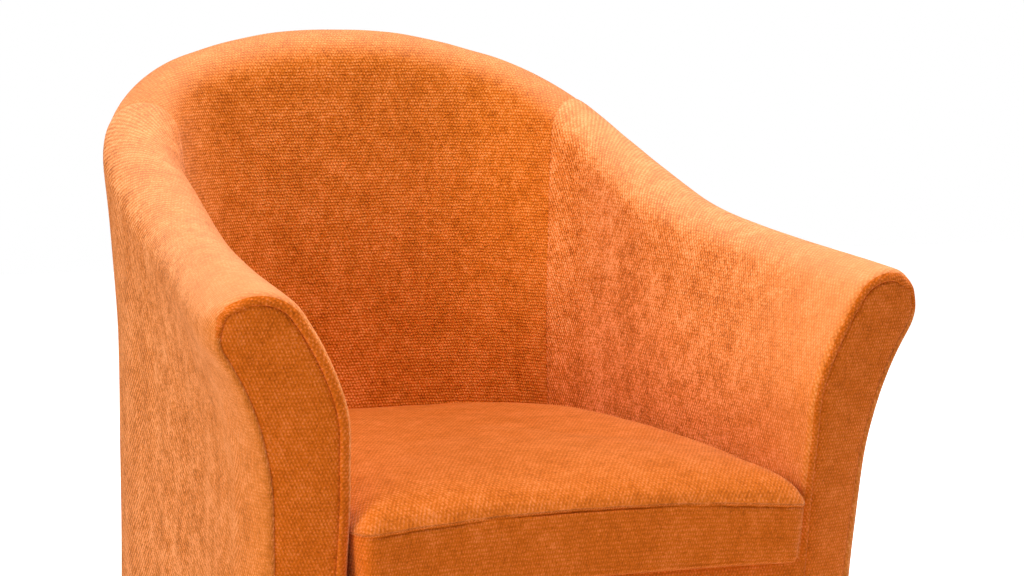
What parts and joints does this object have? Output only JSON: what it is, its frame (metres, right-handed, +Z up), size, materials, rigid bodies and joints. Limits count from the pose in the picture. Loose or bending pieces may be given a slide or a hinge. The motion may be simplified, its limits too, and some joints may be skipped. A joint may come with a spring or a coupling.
{
  "type": "upholstered armchair",
  "caption": "Tub-shaped occasional armchair with flared arms, a back that wraps round into them and a loose boxed seat cushion on tapered wooden legs.",
  "frame": {"origin": "on the floor, under the centre of the chair's bounding box", "axes": "+Z up, the chair faces -Y, +X is to the right as seen from the front"},
  "size_m": [0.7704, 0.7759, 0.86],
  "materials": {
    "upholstery": "orange chenille weave, soft nap",
    "foam": null,
    "wadding": "polyester wadding",
    "felt": "needled felt pad",
    "deck_cloth": "black platform cloth",
    "dust_cloth": "spunbond cloth",
    "frame_wood": "planed hardwood and plywood",
    "fibreboard": "thin bent fibreboard",
    "leg_wood": "dark stained beech, satin lacquer",
    "zinc_steel": "zinc plated",
    "spring_steel": "oil tempered wire",
    "glide_plastic": "moulded nylon",
    "zip_tape": "woven zip tape",
    "zip_teeth": "moulded coil",
    "zip_metal": "plated"
  },
  "bodies": {
    "chair": {"arm_cover_left": "upholstery", "arm_cover_right": "upholstery", "arm_foam_left": "foam", "arm_foam_right": "foam", "arm_front_board_left": "frame_wood", "arm_front_board_right": "frame_wood", "arm_front_panel_left": "upholstery", "arm_front_panel_right": "upholstery", "arm_front_wadding_left": "wadding", "arm_front_wadding_right": "wadding", "arm_lining_left": "fibreboard", "arm_lining_right": "fibreboard", "arm_top_rail_left": "frame_wood", "arm_top_rail_right": "frame_wood", "arm_wadding_left": "wadding", "arm_wadding_right": "wadding", "back_foam": "foam", "back_lining": "fibreboard", "back_post_left": "frame_wood", "back_post_right": "frame_wood", "back_rail": "frame_wood", "back_slat_left": "frame_wood", "back_slat_right": "frame_wood", "back_top_rail": "frame_wood", "back_wadding": "wadding", "corner_blocks": "frame_wood", "deck_cloth": "deck_cloth", "deck_foam": "foam", "dust_cover": "dust_cloth", "front_border_cover": "upholstery", "front_border_wadding": "wadding", "front_rail": "frame_wood", "glides": "glide_plastic", "inside_back_cover": "upholstery", "leg_bolts": "zinc_steel", "leg_front_left": "leg_wood", "leg_front_right": "leg_wood", "leg_plates": "zinc_steel", "leg_rear_left": "leg_wood", "leg_rear_right": "leg_wood", "outside_back_cover": "upholstery", "seat_springs": "spring_steel", "side_rail_left": "frame_wood", "side_rail_right": "frame_wood", "spring_clips": "zinc_steel", "spring_insulator": "felt"},
    "seat_cushion": {"cushion_base_cover": "upholstery", "cushion_border_cover": "upholstery", "cushion_foam": "foam", "cushion_top_cover": "upholstery", "cushion_topper": "wadding", "zip_tape": "zip_tape", "zip_chain": "zip_teeth", "zip_stops": "zip_metal"},
    "zip_slider": {"zip_slider": "zip_metal"}
  },
  "joints": [
    {"name": "cushion_lift", "type": "slide", "parent": "chair", "child": "seat_cushion", "axis": [0, 0, 1], "range_m": [0, 0.55]},
    {"name": "zip_travel", "type": "hinge", "parent": "seat_cushion", "child": "zip_slider", "pos_m": [0, -0.22783, 0.3498], "axis": [0, 0, 1], "range_deg": [0, 27.8]}
  ]
}
